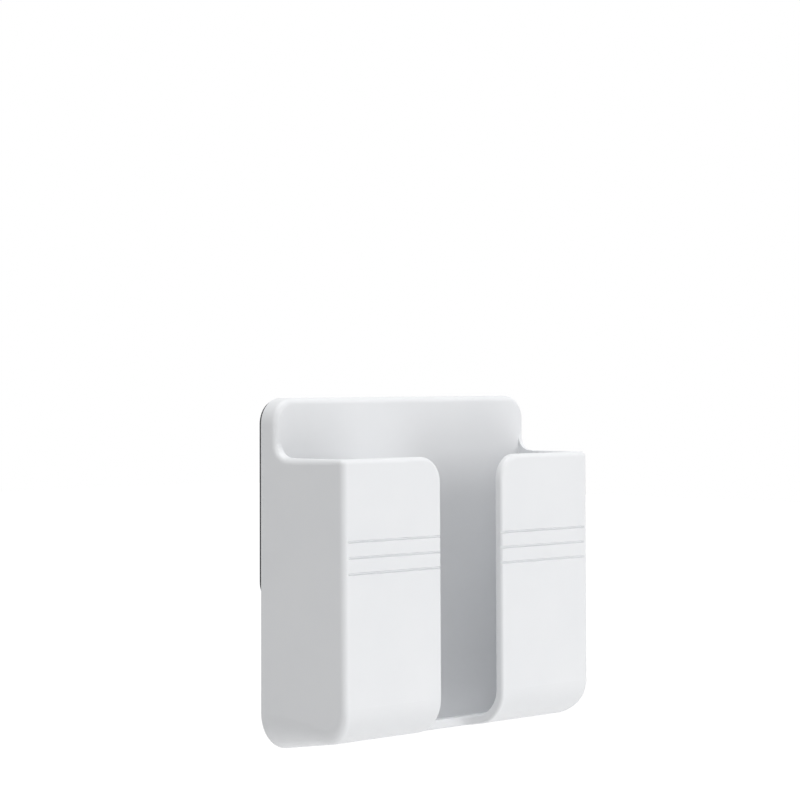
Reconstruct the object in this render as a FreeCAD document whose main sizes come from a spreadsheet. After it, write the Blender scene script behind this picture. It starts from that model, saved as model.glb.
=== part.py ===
import FreeCAD, Part
import math
import os
import Sketcher
from FreeCAD import Vector

# Wall-mounted pocket holder: a one-piece moulding and the foam pad that sticks it to a wall.
# X runs to the right, -Y to the front and Z up. The wall is the plane Y = 0, and the origin
# is the middle of the pad's face on that wall.

# Driving dimensions: millimetres, and degrees for the three angles
DIMENSIONS = [
    ("plate_width", 99.0, "back plate across"),
    ("plate_height", 89.4, "back plate from its foot to its top"),
    ("plate_thick", 4.8, "back plate front to back"),
    ("plate_corner", 6.6, "radius of the plate's top corners"),
    ("plate_round", 1.6, "edge round along the front of the plate"),
    ("holder_depth", 28.2, "back of the plate to the front face, at the foot"),
    ("rim_drop", 15.0, "top of the plate down to the pocket's rim"),
    ("rim_blend", 4.0, "hollow radius where the rim sweeps up into the plate"),
    ("rim_round", 1.3, "edge round along the outside of the rim"),
    ("side_draft", 1.45, "angle by which each side narrows to the front"),
    ("front_lean", 0.4, "angle by which the front face leans back"),
    ("floor_slope", 8.6, "angle by which the floor rises to the front"),
    ("toe_round", 9.5, "round between the underside and the front face"),
    ("heel_round", 10.0, "round of the lower side edges at the back"),
    ("flank_round", 5.0, "round of the lower side edges where the toe begins"),
    ("edge_round", 1.7, "round of the upright front edges"),
    ("side_wall", 2.4, "side wall across"),
    ("front_wall", 2.2, "front wall front to back"),
    ("floor_thick", 2.4, "floor, measured upright"),
    ("inner_round", 0.8, "round of the upright inner edges at the front"),
    ("lip_round", 0.4, "edge round along the inside of rim, gap and notch"),
    ("lip_fade", 0.1, "what is left of that round where the rim begins its sweep"),
    ("lip_stop", 1.0, "length of sharp rim in front of the sweep"),
    ("gap_width", 24.0, "cable gap across"),
    ("gap_round", 0.9, "edge round along the cable gap"),
    ("wing_corner", 6.7, "radius of the wings' top corners at the gap"),
    ("notch_depth", 12.5, "how far the gap runs back into the floor"),
    ("notch_corner", 3.0, "radius of the notch's rear corners"),
    ("groove_first", 20.4, "rim down to the first groove"),
    ("groove_pitch", 4.0, "spacing of the grooves"),
    ("groove_width", 0.7, "groove across its mouth"),
    ("groove_foot", 0.25, "groove across its foot"),
    ("groove_depth", 0.55, "depth of the grooves"),
    ("groove_fade", 0.8, "length over which a groove runs out at each end"),
    ("pad_width", 98.0, "foam pad across"),
    ("pad_height", 52.0, "foam pad from its foot to its top"),
    ("pad_thick", 1.0, "foam pad front to back"),
    ("pad_corner", 6.1, "corner radius of the foam pad"),
    ("pad_inset", 0.5, "top of the plate down to the top of the pad"),
    ("tool_margin", 5.0, "how far a cutting form stands past what it cuts"),
]
GROOVE_COUNT = 3
ON_FACE = 0.02
SHARP_ANGLE = 30

doc = FreeCAD.newDocument("wall_holder")


# Sheet of driving dimensions, one named cell each
sheet = doc.addObject("Spreadsheet::Sheet", "sizes")
for row, (alias, value, meaning) in enumerate(DIMENSIONS, start=1):
    sheet.set(f"A{row}", meaning)
    sheet.set(f"B{row}", str(value))
    sheet.setAlias(f"B{row}", alias)
doc.recompute()


def cell(alias):
    """The number in one named cell."""
    return float(sheet.get(alias))


# Outlines and the sizes that pin them
def origin_plane(body, role):
    """The body's own base plane with this role."""
    return next(item for item in body.Origin.OriginFeatures if item.Role == role)


def new_sketch(body, name, role):
    """An empty sketch on one of the body's base planes."""
    sketch = body.newObject("Sketcher::SketchObject", name)
    sketch.AttachmentSupport = [(origin_plane(body, role), "")]
    sketch.MapMode = "FlatFace"
    return sketch


def add_line(sketch, start, end):
    """Add a straight line and return its number."""
    return sketch.addGeometry(Part.LineSegment(Vector(*start, 0), Vector(*end, 0)), False)


def add_arc(sketch, centre, radius, first_deg, last_deg):
    """Add an arc, anticlockwise between two angles, and return its number."""
    circle = Part.Circle(Vector(*centre, 0), Vector(0, 0, 1), radius)
    arc = Part.ArcOfCircle(circle, math.radians(first_deg), math.radians(last_deg))
    return sketch.addGeometry(arc, False)


def add_rule(sketch, *terms):
    """Add one constraint that has no size."""
    sketch.addConstraint(Sketcher.Constraint(*terms))


def add_size(sketch, name, expression, *terms):
    """Add one constraint whose size comes from the sheet."""
    index = sketch.addConstraint(Sketcher.Constraint(*terms))
    sketch.renameConstraint(index, name)
    sketch.setExpression(f"Constraints.{name}", expression)


def add_foot_point(sketch, front, depth_expression, depth):
    """Pin a slanted front line by the place where it would cross the level of the plate's foot."""
    foot = sketch.addGeometry(Part.Point(Vector(-depth, 0, 0)), True)
    add_rule(sketch, "PointOnObject", foot, 1, -1)
    add_rule(sketch, "PointOnObject", foot, 1, front)
    add_size(sketch, "depth", depth_expression, "DistanceX", foot, 1, -1, 1, depth)


# Side profile of the moulding: plate, rim, leaning front, rounded toe and rising underside
def draw_outer_profile(sketch):
    height = cell("plate_height")
    plate_y = -cell("plate_thick")
    blend_radius = cell("rim_blend")
    rim_z = height - cell("rim_drop")
    depth = cell("holder_depth")
    toe_radius = cell("toe_round")
    lean = math.radians(cell("front_lean"))
    slope = math.radians(cell("floor_slope"))
    rim_front = (-depth + rim_z * math.tan(lean), rim_z)
    toe_top = (-depth, toe_radius)
    toe_centre = (-depth + toe_radius, toe_radius)
    toe_foot = (-depth + toe_radius, 0)

    back = add_line(sketch, (0, 0), (0, height))
    top = add_line(sketch, (0, height), (plate_y, height))
    plate = add_line(sketch, (plate_y, height), (plate_y, rim_z + blend_radius))
    blend = add_arc(sketch, (plate_y - blend_radius, rim_z + blend_radius), blend_radius, 270, 360)
    rim = add_line(sketch, (plate_y - blend_radius, rim_z), rim_front)
    front = add_line(sketch, rim_front, toe_top)
    toe = add_arc(sketch, toe_centre, toe_radius, 180, 270)
    under = add_line(sketch, toe_foot, (0, 0))

    add_rule(sketch, "Coincident", back, 1, -1, 1)
    add_rule(sketch, "Coincident", back, 2, top, 1)
    add_rule(sketch, "Coincident", top, 2, plate, 1)
    add_rule(sketch, "Tangent", plate, 2, blend, 2)
    add_rule(sketch, "Tangent", blend, 1, rim, 1)
    add_rule(sketch, "Coincident", rim, 2, front, 1)
    add_rule(sketch, "Tangent", front, 2, toe, 1)
    add_rule(sketch, "Tangent", toe, 2, under, 1)
    add_rule(sketch, "Coincident", under, 2, back, 1)
    add_rule(sketch, "Vertical", back)
    add_rule(sketch, "Horizontal", top)
    add_rule(sketch, "Vertical", plate)
    add_rule(sketch, "Horizontal", rim)
    add_size(sketch, "height", "sizes.plate_height", "DistanceY", back, 1, back, 2, height)
    add_size(sketch, "thick", "sizes.plate_thick", "DistanceX", plate, 1, back, 2, -plate_y)
    add_size(sketch, "blend", "sizes.rim_blend", "Radius", blend, blend_radius)
    add_size(sketch, "drop", "sizes.rim_drop", "DistanceY", rim, 1, back, 2, height - rim_z)
    add_size(sketch, "toe", "sizes.toe_round", "Radius", toe, toe_radius)
    add_size(sketch, "lean", "-90 - sizes.front_lean", "Angle", front, -math.pi / 2 - lean)
    add_size(sketch, "slope", "-sizes.floor_slope", "Angle", under, -slope)
    add_foot_point(sketch, front, "sizes.holder_depth", depth)


# Side profile of the pocket: the plate's face, the inside of the front, and the floor
def draw_pocket_profile(sketch):
    top_z = cell("plate_height") - cell("rim_drop") + cell("tool_margin")
    rear_y = -cell("plate_thick")
    depth = cell("holder_depth") - cell("front_wall")
    toe_radius = cell("toe_round") - cell("front_wall")
    floor_z = cell("floor_thick")
    lean = math.radians(cell("front_lean"))
    slope = math.radians(cell("floor_slope"))
    front_top = (-depth + top_z * math.tan(lean), top_z)
    toe_top = (-depth, floor_z + toe_radius)
    toe_centre = (-depth + toe_radius, floor_z + toe_radius)
    toe_foot = (-depth + toe_radius, floor_z)

    rear = add_line(sketch, (rear_y, floor_z), (rear_y, top_z))
    top = add_line(sketch, (rear_y, top_z), front_top)
    front = add_line(sketch, front_top, toe_top)
    toe = add_arc(sketch, toe_centre, toe_radius, 180, 270)
    floor = add_line(sketch, toe_foot, (rear_y, floor_z))
    heel = sketch.addGeometry(Part.Point(Vector(0, floor_z, 0)), True)

    add_rule(sketch, "Coincident", rear, 2, top, 1)
    add_rule(sketch, "Coincident", top, 2, front, 1)
    add_rule(sketch, "Tangent", front, 2, toe, 1)
    add_rule(sketch, "Tangent", toe, 2, floor, 1)
    add_rule(sketch, "Coincident", floor, 2, rear, 1)
    add_rule(sketch, "Vertical", rear)
    add_rule(sketch, "Horizontal", top)
    add_rule(sketch, "PointOnObject", heel, 1, -2)
    add_rule(sketch, "PointOnObject", heel, 1, floor)
    add_size(sketch, "floor", "sizes.floor_thick", "DistanceY", -1, 1, heel, 1, floor_z)
    add_size(sketch, "rear", "sizes.plate_thick", "DistanceX", rear, 2, -1, 1, -rear_y)
    top_level = "sizes.plate_height - sizes.rim_drop + sizes.tool_margin"
    add_size(sketch, "top", top_level, "DistanceY", -1, 1, rear, 2, top_z)
    add_size(sketch, "toe", "sizes.toe_round - sizes.front_wall", "Radius", toe, toe_radius)
    add_size(sketch, "lean", "-90 - sizes.front_lean", "Angle", front, -math.pi / 2 - lean)
    add_size(sketch, "slope", "-sizes.floor_slope", "Angle", floor, -slope)
    add_foot_point(sketch, front, "sizes.holder_depth - sizes.front_wall", depth)


def flat_faces(shape, axis, place):
    """Names of the shape's faces that lie flat across an axis at this place along it."""
    names = []
    for number, face in enumerate(shape.Faces, start=1):
        box = face.BoundBox
        low = {"X": box.XMin, "Y": box.YMin}[axis]
        high = {"X": box.XMax, "Y": box.YMax}[axis]
        if abs(low - place) < ON_FACE and abs(high - place) < ON_FACE:
            names.append(f"Face{number}")
    return names


def drafted_body(name, draw_profile, width_expression):
    """A profile padded to both sides of the middle, its flat sides drafted from its rear face."""
    body = doc.addObject("PartDesign::Body", name)
    sketch = new_sketch(body, f"{name}_profile", "YZ_Plane")
    draw_profile(sketch)
    pad = body.newObject("PartDesign::Pad", f"{name}_pad")
    pad.Profile = sketch
    pad.SideType = "Symmetric"
    pad.setExpression("Length", width_expression)
    doc.recompute()
    box = pad.Shape.BoundBox
    draft = body.newObject("PartDesign::Draft", f"{name}_draft")
    draft.NeutralPlane = (pad, flat_faces(pad.Shape, "Y", box.YMax))
    draft.Base = (pad, flat_faces(pad.Shape, "X", box.XMin) + flat_faces(pad.Shape, "X", box.XMax))
    draft.setExpression("Angle", "sizes.side_draft")
    doc.recompute()
    # A second pass takes up the neutral face
    draft.touch()
    doc.recompute()
    return body


# Plan of the cable gap: parallel sides, and a floor notch with rounded rear corners
def draw_gap_plan(sketch):
    half = cell("gap_width") / 2
    corner = cell("notch_corner")
    front_y = -cell("holder_depth") - cell("tool_margin")
    rear_y = cell("notch_depth") - cell("holder_depth")

    front = add_line(sketch, (half, front_y), (-half, front_y))
    left = add_line(sketch, (-half, front_y), (-half, rear_y - corner))
    left_corner = add_arc(sketch, (corner - half, rear_y - corner), corner, 90, 180)
    rear = add_line(sketch, (corner - half, rear_y), (half - corner, rear_y))
    right_corner = add_arc(sketch, (half - corner, rear_y - corner), corner, 0, 90)
    right = add_line(sketch, (half, rear_y - corner), (half, front_y))

    add_rule(sketch, "Coincident", front, 2, left, 1)
    add_rule(sketch, "Tangent", left, 2, left_corner, 2)
    add_rule(sketch, "Tangent", left_corner, 1, rear, 1)
    add_rule(sketch, "Tangent", rear, 2, right_corner, 2)
    add_rule(sketch, "Tangent", right_corner, 1, right, 1)
    add_rule(sketch, "Coincident", right, 2, front, 1)
    add_rule(sketch, "Vertical", left)
    add_rule(sketch, "Horizontal", rear)
    add_rule(sketch, "Vertical", right)
    add_rule(sketch, "Symmetric", front, 1, front, 2, -2)
    add_rule(sketch, "Equal", left_corner, right_corner)
    add_size(sketch, "width", "sizes.gap_width", "DistanceX", front, 2, front, 1, 2 * half)
    add_size(sketch, "corner", "sizes.notch_corner", "Radius", left_corner, corner)
    rear_depth = "sizes.holder_depth - sizes.notch_depth"
    front_depth = "sizes.holder_depth + sizes.tool_margin"
    add_size(sketch, "rear", rear_depth, "DistanceY", rear, 1, -1, 1, -rear_y)
    add_size(sketch, "front", front_depth, "DistanceY", front, 1, -1, 1, -front_y)


def gap_body():
    """The upright prism that parts the front wall and notches the floor."""
    body = doc.addObject("PartDesign::Body", "gap_form")
    sketch = new_sketch(body, "gap_plan", "XY_Plane")
    draw_gap_plan(sketch)
    pad = body.newObject("PartDesign::Pad", "gap_pad")
    pad.Profile = sketch
    pad.SideType = "Symmetric"
    pad.setExpression("Length", "2 * (sizes.plate_height + sizes.tool_margin)")
    return body


# Edge rounds
def middle_of(edge):
    """The point halfway along an edge."""
    return edge.valueAt((edge.FirstParameter + edge.LastParameter) / 2)


def is_straight(edge):
    return edge.Curve.TypeId == "Part::GeomLine"


def is_near(shape, point):
    """Whether a point lies on the skin of a shape."""
    return Part.Compound(shape.Faces).distToShape(Part.Vertex(point))[0] < ON_FACE


def round_edges(name, base, entries):
    """Round numbered edges, each with a radius at its first and at its last end."""
    rounded = doc.addObject("Part::Fillet", name)
    rounded.Base = base
    rounded.Edges = entries
    doc.recompute()
    return rounded


def side_edges(shape):
    """Numbers of a drafted form's heel runs, toe arcs and upright front edges."""
    heel, toe, upright = [], [], []
    box = shape.BoundBox
    half_depth = (box.YMin + box.YMax) / 2
    for number, edge in enumerate(shape.Edges, start=1):
        middle = middle_of(edge)
        crosses_middle = edge.BoundBox.XMin * edge.BoundBox.XMax < 0
        on_rear_face = abs(middle.y - box.YMax) < ON_FACE
        if crosses_middle or on_rear_face:
            continue
        if middle.z < box.ZMin + cell("toe_round"):
            (heel if is_straight(edge) else toe).append(number)
        elif middle.y < half_depth and edge.BoundBox.ZLength > edge.BoundBox.YLength:
            upright.append(number)
    return heel, toe, upright


def round_sides(name, base, heel_radius, flank_radius, upright_radius):
    """Round the lower side edges, large at the back and tightening round the toe to the front edges."""

    def towards_front(number, rear_radius, front_radius):
        edge = base.Shape.Edges[number - 1]
        if edge.firstVertex().Point.y > edge.lastVertex().Point.y:
            return (number, rear_radius, front_radius)
        return (number, front_radius, rear_radius)

    heel, toe, upright = side_edges(base.Shape)
    entries = [towards_front(number, heel_radius, flank_radius) for number in heel]
    entries += [towards_front(number, flank_radius, upright_radius) for number in toe]
    entries += [(number, upright_radius, upright_radius) for number in upright]
    return round_edges(name, base, entries)


def round_plate_corners(name, base):
    """Round the two top corners of the plate."""
    entries = []
    for number, edge in enumerate(base.Shape.Edges, start=1):
        middle = middle_of(edge)
        at_top = abs(middle.z - cell("plate_height")) < ON_FACE
        if at_top and edge.BoundBox.YLength > edge.BoundBox.XLength:
            entries.append((number, cell("plate_corner"), cell("plate_corner")))
    return round_edges(name, base, entries)


def round_wing_corners(name, base):
    """Round the top corner of each wing where it meets the gap."""
    rim_z = cell("plate_height") - cell("rim_drop")
    entries = []
    for number, edge in enumerate(base.Shape.Edges, start=1):
        middle = middle_of(edge)
        on_rim = abs(middle.z - rim_z) < ON_FACE
        at_gap = abs(abs(middle.x) - cell("gap_width") / 2) < ON_FACE
        if on_rim and at_gap:
            entries.append((number, cell("wing_corner"), cell("wing_corner")))
    return round_edges(name, base, entries)


def sharp_edges(shape):
    """Numbers of the edges that stick out sharply, away from the flat back."""
    numbers = []
    for number, edge in enumerate(shape.Edges, start=1):
        middle = middle_of(edge)
        faces = shape.ancestorsOfType(edge, Part.Face)
        if abs(middle.y) < ON_FACE or len(faces) != 2:
            continue
        normals = [face.normalAt(*face.Surface.parameter(middle)) for face in faces]
        is_sharp = normals[0].getAngle(normals[1]) > math.radians(SHARP_ANGLE)
        beside = middle + (normals[0] - normals[1]) * ON_FACE
        is_hollow = shape.isInside(beside, ON_FACE / 10, False)
        if is_sharp and not is_hollow:
            numbers.append(number)
    return numbers


def outer_radius(point):
    """Edge round of the outer skin at a point: the plate's, the gap's or the rim's."""
    rim_z = cell("plate_height") - cell("rim_drop")
    if abs(point.x) < cell("gap_width") / 2 + ON_FACE and point.z < rim_z:
        return cell("gap_round")
    if point.z > rim_z + ON_FACE:
        return cell("plate_round")
    return cell("rim_round")


def round_rim(name, base, pocket_skin):
    """Soften the outer edges of rim, plate, gap and notch with a radius that flows along them."""
    entries = []
    for number in sharp_edges(base.Shape):
        edge = base.Shape.Edges[number - 1]
        middle = middle_of(edge)
        if not is_near(pocket_skin, middle):
            first = outer_radius(edge.firstVertex().Point)
            last = outer_radius(edge.lastVertex().Point)
            entries.append((number, first, last))
    return round_edges(name, base, entries)


def lip_end():
    """How far in front of the plate's back the rounded inner lips end, short of the rim's sweep."""
    return cell("plate_thick") + cell("rim_blend") + cell("lip_stop")


def lip_radius(point):
    """Edge round of the inner lips at a point: full, or faded where they end."""
    return cell("lip_fade") if abs(point.y + lip_end()) < ON_FACE else cell("lip_round")


def round_lips(name, base, pocket_skin):
    """Soften the inner edges of the front part, along its rims, gap and notch."""
    entries = []
    for number in sharp_edges(base.Shape):
        edge = base.Shape.Edges[number - 1]
        middle = middle_of(edge)
        on_end = abs(middle.y + lip_end()) < ON_FACE
        if is_near(pocket_skin, middle) and not on_end:
            first = lip_radius(edge.firstVertex().Point)
            last = lip_radius(edge.lastVertex().Point)
            entries.append((number, first, last))
    return round_edges(name, base, entries)


def front_block():
    """A block over all that lies in front of where the inner lips end."""
    block = doc.addObject("Part::Box", "front_block")
    end = "(sizes.plate_thick + sizes.rim_blend + sizes.lip_stop)"
    block.setExpression("Length", "sizes.plate_width + 2 * sizes.tool_margin")
    block.setExpression("Width", f"sizes.holder_depth + sizes.tool_margin - {end}")
    block.setExpression("Height", "sizes.plate_height + 2 * sizes.tool_margin")
    block.setExpression("Placement.Base.x", "-sizes.plate_width / 2 - sizes.tool_margin")
    block.setExpression("Placement.Base.y", "-sizes.holder_depth - sizes.tool_margin")
    block.setExpression("Placement.Base.z", "-sizes.tool_margin")
    doc.recompute()
    return block


def combine(kind, name, base, tool):
    """Make one form out of two."""
    result = doc.addObject(kind, name)
    result.Base = base
    result.Tool = tool
    result.Refine = True
    doc.recompute()
    return result


def cut(name, base, tool):
    """Take one form away from another."""
    return combine("Part::Cut", name, base, tool)


def common(name, base, tool):
    """Keep what two forms share."""
    return combine("Part::Common", name, base, tool)


# Three fine grooves across the front, level with each other on both wings
def groove_wedges():
    """Wedges sunk into the leaning front face, narrowest at a groove's foot and run out at its ends."""
    wedges = []
    for index in range(GROOVE_COUNT):
        wedge = doc.addObject("Part::Wedge", f"groove_wedge_{index + 1}")
        first_level = "sizes.plate_height - sizes.rim_drop - sizes.groove_first"
        level = f"({first_level} - {index} * sizes.groove_pitch)"
        face = f"(sizes.holder_depth - {level} * tan(sizes.front_lean * 1 deg))"
        taper = "sizes.holder_depth * tan(sizes.side_draft * 1 deg)"
        half_length = f"(sizes.plate_width / 2 - {taper} - sizes.edge_round)"
        # The wedge stands out of the face by the depth of a groove, with the same slopes
        for side, sign in (("min", "-"), ("max", "")):
            wedge.setExpression(f"X{side}", f"{sign}({half_length} + sizes.groove_fade)")
            wedge.setExpression(f"X2{side}", f"{sign}({half_length} - sizes.groove_fade)")
            wedge.setExpression(f"Z{side}", f"{sign}(sizes.groove_width - sizes.groove_foot / 2)")
            wedge.setExpression(f"Z2{side}", f"{sign}sizes.groove_foot / 2")
        wedge.setExpression("Ymin", "-sizes.groove_depth")
        wedge.setExpression("Ymax", "sizes.groove_depth")
        wedge.setExpression("Placement.Base.y", f"-{face}")
        wedge.setExpression("Placement.Base.z", level)
        wedges.append(wedge)
    group = doc.addObject("Part::Compound", "groove_wedges")
    group.Links = wedges
    doc.recompute()
    return group


# Foam pad: a thin sheet with four equal rounded corners, flat against the wall
def draw_pad_outline(sketch):
    half_width = cell("pad_width") / 2
    half_height = cell("pad_height") / 2
    corner = cell("pad_corner")
    inner_x = half_width - corner
    inner_z = half_height - corner

    top = add_line(sketch, (inner_x, half_height), (-inner_x, half_height))
    top_left = add_arc(sketch, (-inner_x, inner_z), corner, 90, 180)
    left = add_line(sketch, (-half_width, inner_z), (-half_width, -inner_z))
    foot_left = add_arc(sketch, (-inner_x, -inner_z), corner, 180, 270)
    foot = add_line(sketch, (-inner_x, -half_height), (inner_x, -half_height))
    foot_right = add_arc(sketch, (inner_x, -inner_z), corner, 270, 360)
    right = add_line(sketch, (half_width, -inner_z), (half_width, inner_z))
    top_right = add_arc(sketch, (inner_x, inner_z), corner, 0, 90)

    ring = [top, top_left, left, foot_left, foot, foot_right, right, top_right]
    for this, following in zip(ring, ring[1:] + ring[:1]):
        add_rule(sketch, "Tangent", this, 2, following, 1)
    for other in (foot_left, foot_right, top_right):
        add_rule(sketch, "Equal", top_left, other)
    add_rule(sketch, "Horizontal", top)
    add_rule(sketch, "Symmetric", top, 1, foot, 1, -1, 1)
    add_size(sketch, "corner", "sizes.pad_corner", "Radius", top_left, corner)
    add_size(sketch, "width", "sizes.pad_width", "DistanceX", left, 1, right, 1, 2 * half_width)
    add_size(sketch, "height", "sizes.pad_height", "DistanceY", foot, 1, top, 1, 2 * half_height)


def adhesive_pad():
    """The foam pad, from the wall to the back of the plate."""
    body = doc.addObject("PartDesign::Body", "pad_body")
    sketch = new_sketch(body, "pad_outline", "XZ_Plane")
    draw_pad_outline(sketch)
    pad = body.newObject("PartDesign::Pad", "pad_sheet")
    pad.Profile = sketch
    pad.setExpression("Length", "sizes.pad_thick")
    body.Label = "adhesive_pad"
    doc.recompute()
    return body


def holder_body():
    """The moulding: outer form less the pocket, the cable gap, its edge rounds and the grooves."""
    outer_form = drafted_body("outer_form", draw_outer_profile, "sizes.plate_width")
    inner_width = "sizes.plate_width - 2 * sizes.side_wall"
    taper_at_plate = "2 * sizes.plate_thick * tan(sizes.side_draft * 1 deg)"
    pocket_form = drafted_body("pocket_form", draw_pocket_profile, f"{inner_width} - {taper_at_plate}")

    outer_sides = round_sides(
        "outer_sides", outer_form, cell("heel_round"), cell("flank_round"), cell("edge_round")
    )
    outer_skin = round_plate_corners("outer_skin", outer_sides)
    pocket = round_sides(
        "pocket",
        pocket_form,
        cell("heel_round") - cell("side_wall"),
        cell("flank_round") - cell("side_wall"),
        cell("inner_round"),
    )
    shell = cut("shell", outer_skin, pocket)
    parted = cut("parted_shell", shell, gap_body())
    wings = round_wing_corners("wings", parted)
    softened = round_rim("softened", wings, pocket.Shape)
    front = common("front", softened, front_block())
    front_lipped = round_lips("front_lipped", front, pocket.Shape)
    shavings = cut("shavings", front, front_lipped)
    lipped = cut("lipped", softened, shavings)
    holder = cut("holder", lipped, groove_wedges())
    holder.Label = "holder_body"
    holder.setExpression("Placement.Base.y", "-sizes.pad_thick")
    holder.setExpression(
        "Placement.Base.z", "sizes.pad_height / 2 + sizes.pad_inset - sizes.plate_height"
    )
    doc.recompute()
    return holder


sub_parts = [holder_body(), adhesive_pad()]

# Nothing is written unless every object is sound
for item in doc.Objects:
    if "Invalid" in item.State or "Error" in item.State:
        raise RuntimeError(f"{item.Label} failed: {item.getStatusString()}")
for item in sub_parts:
    if item.Shape.isNull() or not item.Shape.isValid() or len(item.Shape.Solids) != 1:
        raise RuntimeError(f"{item.Label} is not one sound solid")

os.makedirs("parts", exist_ok=True)
for item in sub_parts:
    item.Shape.exportStep(f"parts/{item.Label}.step")
    box = item.Shape.optimalBoundingBox()
    print(item.Label, round(item.Shape.Volume, 1), "mm3", box)
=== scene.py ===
import math

import bmesh
import bpy
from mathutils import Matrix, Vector, noise


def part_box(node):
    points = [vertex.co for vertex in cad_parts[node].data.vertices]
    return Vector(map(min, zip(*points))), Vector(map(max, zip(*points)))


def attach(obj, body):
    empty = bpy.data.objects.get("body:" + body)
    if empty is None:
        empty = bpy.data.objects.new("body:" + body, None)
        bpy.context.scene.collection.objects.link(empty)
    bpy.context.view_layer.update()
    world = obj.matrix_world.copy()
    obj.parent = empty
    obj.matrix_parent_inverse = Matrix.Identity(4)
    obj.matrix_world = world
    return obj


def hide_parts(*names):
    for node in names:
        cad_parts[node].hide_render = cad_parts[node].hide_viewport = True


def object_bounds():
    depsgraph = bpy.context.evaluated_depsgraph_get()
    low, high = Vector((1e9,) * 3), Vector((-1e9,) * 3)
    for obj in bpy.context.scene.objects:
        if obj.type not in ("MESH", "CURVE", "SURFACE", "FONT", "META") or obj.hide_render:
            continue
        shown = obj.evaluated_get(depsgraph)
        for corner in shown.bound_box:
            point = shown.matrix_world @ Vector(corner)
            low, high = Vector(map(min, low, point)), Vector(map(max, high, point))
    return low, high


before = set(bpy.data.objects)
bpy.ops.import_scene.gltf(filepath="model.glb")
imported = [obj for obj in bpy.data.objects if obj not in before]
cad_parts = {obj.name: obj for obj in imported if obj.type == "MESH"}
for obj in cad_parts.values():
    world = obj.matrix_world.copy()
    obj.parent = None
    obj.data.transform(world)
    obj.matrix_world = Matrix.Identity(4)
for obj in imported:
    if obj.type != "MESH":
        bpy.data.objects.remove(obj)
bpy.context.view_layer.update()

MM = 0.001
WHITE = (1, 1, 1, 1)

# Camera: in front of the holder to its left, just above the level of its top; angles in degrees
CAMERA_PLACE = (-563.6 * MM, -506.7 * MM, 33.6 * MM)
CAMERA_TURN = 48.26
CAMERA_TILT = 0.602
CAMERA_LENS = 128.5
SENSOR_WIDTH = 36.0
CLIP_NEAR = 0.01
CLIP_FAR = 60

# White plastic: flow clouds, gloss smears, moulded grain and slow ripple, in features per metre
PLASTIC_COLOURS = ((0.82, 0.832, 0.85), (0.845, 0.855, 0.87))
PLASTIC_ROUGHNESS = (0.36, 0.5)
PLASTIC_IOR = 1.5
FLOW_SCALE = 45
SMEAR_SCALE = 160
GRAIN_SCALE = 3200
GRAIN_HEIGHT = 0.02 * MM
RIPPLE_SCALE = 30
RIPPLE_HEIGHT = 0.12 * MM

# Foam: its mottled skin, and the pit in each cell, with painted shade that darkens the pit
FOAM_COLOURS = ((0.04, 0.041, 0.045), (0.085, 0.086, 0.092))
FOAM_ROUGHNESS = (0.5, 0.75)
MOTTLE_SCALE = 220
CELL_SCALE = 1900
PAINTED_PIT_SHADE = ((0.5, 0.5, 0.5), (1, 1, 1))
PAINTED_PIT_SHADE_SPAN = (0.12, 0.5)
PIT_DEPTH = 0.15 * MM

# Where on the scale of a noise the darker and the lighter colour of a surface lie
CLOUD_SPAN = (0.3, 0.7)

# Foam pad: the edge of each adhesive film, and how far the rough cut foam between them draws in
FILM_THICK = 0.07 * MM
FILM_SOFTEN = 0.03 * MM
FOAM_DRAW_IN = 0.16 * MM
FOAM_ROUGH = 0.05 * MM
FOAM_ROUGH_SCALE = 900
FOAM_RINGS = (0.2, 0.4, 0.6, 0.8)
PAD_CORNER = 6.1 * MM
PAD_STEP = 0.6 * MM

# Floor, well below the holder, which hangs on a wall
FLOOR_DROP = 0.6
FLOOR_HALF = 12.0
FLOOR_GREY = (0.8, 0.8, 0.8, 1)
FLOOR_LIFT = 0.75

# Light: the even glow from all round, and soft boxes by name, place, what they face, side and watts
WORLD_LIGHT = 0.42
SOFT_BOXES = [
    ("key", (0.6, -1.5, 0.35), (0, 0, 0), 0.9, 5.8),
    ("top", (-0.1, -0.25, 1.3), (0, 0, 0), 0.9, 9.5),
    ("left_fill", (-1.0, -0.7, 0.15), (0, 0, 0), 0.6, 1.8),
    ("low_fill", (0.5, -0.8, -0.4), (0, 0, -0.03), 0.6, 2),
    ("back_fill", (0.3, 1.4, 0.3), (0, 0, 0), 0.9, 5),
]


def new_material(name):
    """An empty node material with its shader and output."""
    material = bpy.data.materials.new(name)
    material.use_nodes = True
    nodes = material.node_tree.nodes
    nodes.clear()
    output = nodes.new("ShaderNodeOutputMaterial")
    shader = nodes.new("ShaderNodeBsdfPrincipled")
    material.node_tree.links.new(shader.outputs["BSDF"], output.inputs["Surface"])
    return material, shader


def add_noise(material, scale, detail, roughness=0.5):
    """Solid noise in the holder's own frame, its scale in features per metre."""
    tree = material.node_tree
    place = tree.nodes.new("ShaderNodeTexCoord")
    node = tree.nodes.new("ShaderNodeTexNoise")
    node.inputs["Scale"].default_value = scale
    node.inputs["Detail"].default_value = detail
    node.inputs["Roughness"].default_value = roughness
    tree.links.new(place.outputs["Object"], node.inputs["Vector"])
    return node.outputs["Fac"]


def add_cells(material, scale):
    """Distance from the middle of a foam cell, its scale in cells per metre."""
    tree = material.node_tree
    place = tree.nodes.new("ShaderNodeTexCoord")
    node = tree.nodes.new("ShaderNodeTexVoronoi")
    node.inputs["Scale"].default_value = scale
    tree.links.new(place.outputs["Object"], node.inputs["Vector"])
    return node.outputs["Distance"]


def add_ramp(material, source, span, colours):
    """Two colours spread over a value, from one end of a span to the other."""
    tree = material.node_tree
    ramp = tree.nodes.new("ShaderNodeValToRGB")
    for element, place, colour in zip(ramp.color_ramp.elements, span, colours):
        element.position = place
        element.color = (*colour, 1)
    tree.links.new(source, ramp.inputs["Fac"])
    return ramp.outputs["Color"]


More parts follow.
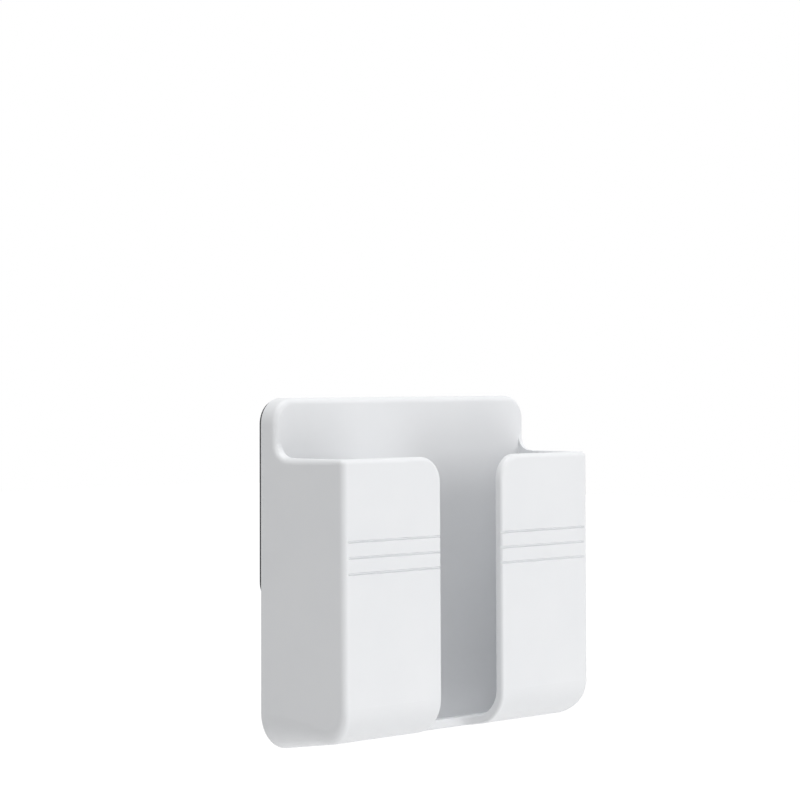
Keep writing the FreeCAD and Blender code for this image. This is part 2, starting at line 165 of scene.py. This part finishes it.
def add_product(material, first, second):
    """Two colours multiplied."""
    tree = material.node_tree
    node = tree.nodes.new("ShaderNodeMix")
    node.data_type = "RGBA"
    node.blend_type = "MULTIPLY"
    node.inputs["Factor"].default_value = 1
    tree.links.new(first, node.inputs["A"])
    tree.links.new(second, node.inputs["B"])
    return node.outputs["Result"]


def add_range(material, source, limits):
    """A value of 0 to 1 spread between two others."""
    tree = material.node_tree
    node = tree.nodes.new("ShaderNodeMapRange")
    node.inputs["To Min"].default_value, node.inputs["To Max"].default_value = limits
    tree.links.new(source, node.inputs["Value"])
    return node.outputs["Result"]


def add_bump(material, source, height, strength, base=None):
    """Fine relief of a height in metres, laid over an earlier one."""
    tree = material.node_tree
    node = tree.nodes.new("ShaderNodeBump")
    node.inputs["Distance"].default_value = height
    node.inputs["Strength"].default_value = strength
    tree.links.new(source, node.inputs["Height"])
    if base is not None:
        tree.links.new(base, node.inputs["Normal"])
    return node.outputs["Normal"]


# Satin moulded plastic: faint flow clouds in the colour, a spark-eroded grain and a slow ripple
def white_plastic():
    material, shader = new_material("white_plastic")
    links = material.node_tree.links
    clouds = add_noise(material, FLOW_SCALE, detail=4)
    colour = add_ramp(material, clouds, CLOUD_SPAN, PLASTIC_COLOURS)
    links.new(colour, shader.inputs["Base Color"])
    smears = add_noise(material, SMEAR_SCALE, detail=5, roughness=0.6)
    links.new(add_range(material, smears, PLASTIC_ROUGHNESS), shader.inputs["Roughness"])
    grain = add_noise(material, GRAIN_SCALE, detail=2)
    ripple = add_noise(material, RIPPLE_SCALE, detail=1)
    relief = add_bump(material, ripple, RIPPLE_HEIGHT, strength=0.35)
    relief = add_bump(material, grain, GRAIN_HEIGHT, strength=0.6, base=relief)
    links.new(relief, shader.inputs["Normal"])
    shader.inputs["IOR"].default_value = PLASTIC_IOR
    return material


# Closed-cell foam: a mottled dark skin with a fine pit in each cell, darkened by painted shade
def foam_tape():
    material, shader = new_material("foam_tape")
    links = material.node_tree.links
    mottle = add_noise(material, MOTTLE_SCALE, detail=5, roughness=0.6)
    skin = add_ramp(material, mottle, CLOUD_SPAN, FOAM_COLOURS)
    cells = add_cells(material, CELL_SCALE)
    # Painted shade: the colour darkens towards the middle of each cell, where the pit is
    painted_pit_shade = add_ramp(material, cells, PAINTED_PIT_SHADE_SPAN, PAINTED_PIT_SHADE)
    links.new(add_product(material, skin, painted_pit_shade), shader.inputs["Base Color"])
    links.new(add_range(material, mottle, FOAM_ROUGHNESS), shader.inputs["Roughness"])
    links.new(add_bump(material, cells, PIT_DEPTH, strength=0.7), shader.inputs["Normal"])
    return material


def rounded_outline(half_width, half_height, corner, step):
    """Points round a rectangle with round corners, evenly spaced, each with its outward direction."""
    points = []
    inner_x = half_width - corner
    inner_z = half_height - corner
    corners = [(inner_x, inner_z), (-inner_x, inner_z), (-inner_x, -inner_z), (inner_x, -inner_z)]
    quarter = math.pi / 2
    arc_count = round(corner * quarter / step)
    for index, (x, z) in enumerate(corners):
        for part in range(arc_count + 1):
            angle = quarter * (index + part / arc_count)
            outward = Vector((math.cos(angle), 0, math.sin(angle)))
            points.append((Vector((x, 0, z)) + outward * corner, outward))
        end, outward = points[-1]
        next_x, next_z = corners[(index + 1) % len(corners)]
        run = Vector((next_x, 0, next_z)) + outward * corner - end
        run_count = round(run.length / step)
        for part in range(1, run_count):
            points.append((end + run * (part / run_count), outward))
    return points


def pad_rings(thick):
    """Depth, inset and roughness of each ring round the pad, from one film's face to the other's."""
    film = [(0, FILM_SOFTEN), (FILM_SOFTEN, 0), (FILM_THICK, 0), (FILM_THICK, FOAM_DRAW_IN / 2)]
    foam_span = thick - 2 * FILM_THICK
    rings = [(depth, inset, 0) for depth, inset in film]
    rings += [(FILM_THICK + foam_span * share, FOAM_DRAW_IN, FOAM_ROUGH) for share in FOAM_RINGS]
    rings += [(thick - depth, inset, 0) for depth, inset in reversed(film)]
    return rings


def pad_mesh(low, high):
    """Rings round the pad's outline joined by strips, and closed by a film's face at each end."""
    centre = (low + high) / 2
    half = (high - low) / 2
    outline = rounded_outline(half.x, half.z, PAD_CORNER, PAD_STEP)
    build = bmesh.new()
    loops = []
    for depth, inset, rough in pad_rings(high.y - low.y):
        loop = []
        for point, outward in outline:
            place = centre + point - outward * inset
            place.y = high.y - depth
            place -= outward * rough * (1 + noise.noise(place * FOAM_ROUGH_SCALE))
            loop.append(build.verts.new(place))
        loops.append(loop)
    count = len(outline)
    for first, second in zip(loops, loops[1:]):
        for index in range(count):
            following = (index + 1) % count
            build.faces.new((first[index], first[following], second[following], second[index]))
    build.faces.new(list(reversed(loops[0])))
    build.faces.new(loops[-1])
    bmesh.ops.recalc_face_normals(build, faces=build.faces)
    mesh = bpy.data.meshes.new("foam_pad")
    build.to_mesh(mesh)
    build.free()
    return mesh


# Foam pad: two thin films with the cut foam drawn in a little between them
def foam_pad():
    low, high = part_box("adhesive_pad")
    pad = bpy.data.objects.new("foam_pad", pad_mesh(low, high))
    bpy.context.scene.collection.objects.link(pad)
    pad.data.materials.append(foam_tape())
    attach(pad, "root")
    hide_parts("adhesive_pad")


def dress_holder():
    """Give the moulding its plastic."""
    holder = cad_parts["holder_body"]
    holder.data.materials.clear()
    holder.data.materials.append(white_plastic())


def add_math(tree, operation, first, second):
    """A value joined to a second one, which is a number or another value."""
    node = tree.nodes.new("ShaderNodeMath")
    node.operation = operation
    tree.links.new(first, node.inputs[0])
    if isinstance(second, float):
        node.inputs[1].default_value = second
    else:
        tree.links.new(second, node.inputs[1])
    return node.outputs["Value"]


def add_seen_directly(tree, amount):
    """The given amount where a thing is seen directly, mirrored or through glass, and 0 as light."""
    path = tree.nodes.new("ShaderNodeLightPath")
    seen = path.outputs["Is Camera Ray"]
    for ray in ("Is Glossy Ray", "Is Transmission Ray"):
        seen = add_math(tree, "MAXIMUM", seen, path.outputs[ray])
    return add_math(tree, "MULTIPLY", seen, amount)


def white_floor():
    """Matt pale grey that shows white to the camera and keeps a shadow."""
    material = bpy.data.materials.new("floor")
    material.use_nodes = True
    tree = material.node_tree
    tree.nodes.clear()
    output = tree.nodes.new("ShaderNodeOutputMaterial")
    matt = tree.nodes.new("ShaderNodeBsdfDiffuse")
    matt.inputs["Color"].default_value = FLOOR_GREY
    glow = tree.nodes.new("ShaderNodeEmission")
    both = tree.nodes.new("ShaderNodeAddShader")
    tree.links.new(add_seen_directly(tree, FLOOR_LIFT), glow.inputs["Strength"])
    tree.links.new(matt.outputs["BSDF"], both.inputs[0])
    tree.links.new(glow.outputs["Emission"], both.inputs[1])
    tree.links.new(both.outputs["Shader"], output.inputs["Surface"])
    return material


def add_floor():
    """A broad white floor."""
    low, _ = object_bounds()
    bpy.ops.mesh.primitive_plane_add(size=2 * FLOOR_HALF, location=(0, 0, low.z - FLOOR_DROP))
    floor = bpy.context.object
    floor.name = "floor"
    floor.data.materials.append(white_floor())


def add_world():
    """Even soft light from all round, seen as white."""
    world = bpy.data.worlds.new("studio")
    bpy.context.scene.world = world
    world.use_nodes = True
    tree = world.node_tree
    tree.nodes.clear()
    output = tree.nodes.new("ShaderNodeOutputWorld")
    background = tree.nodes.new("ShaderNodeBackground")
    background.inputs["Color"].default_value = WHITE
    strength = add_math(tree, "ADD", add_seen_directly(tree, 1 - WORLD_LIGHT), WORLD_LIGHT)
    tree.links.new(strength, background.inputs["Strength"])
    tree.links.new(background.outputs["Background"], output.inputs["Surface"])


def add_soft_box(name, place, target, side, power):
    """A square white lamp that faces a point and isn't seen itself."""
    data = bpy.data.lights.new(name, "AREA")
    data.shape = "SQUARE"
    data.size = side
    data.energy = power
    lamp = bpy.data.objects.new(name, data)
    lamp.location = place
    lamp.visible_camera = False
    lamp.rotation_euler = (Vector(target) - Vector(place)).to_track_quat("-Z", "Y").to_euler()
    bpy.context.scene.collection.objects.link(lamp)


def add_camera():
    """The camera, level but for a slight downward tilt."""
    data = bpy.data.cameras.new("camera")
    data.lens = CAMERA_LENS
    data.sensor_width = SENSOR_WIDTH
    data.clip_start = CLIP_NEAR
    data.clip_end = CLIP_FAR
    camera = bpy.data.objects.new("camera", data)
    camera.location = CAMERA_PLACE
    camera.rotation_euler = (math.radians(90 - CAMERA_TILT), 0, -math.radians(CAMERA_TURN))
    bpy.context.scene.collection.objects.link(camera)
    bpy.context.scene.camera = camera


dress_holder()
foam_pad()
add_floor()
add_world()
for soft_box in SOFT_BOXES:
    add_soft_box(*soft_box)
add_camera()
bpy.context.scene.view_settings.view_transform = "Standard"
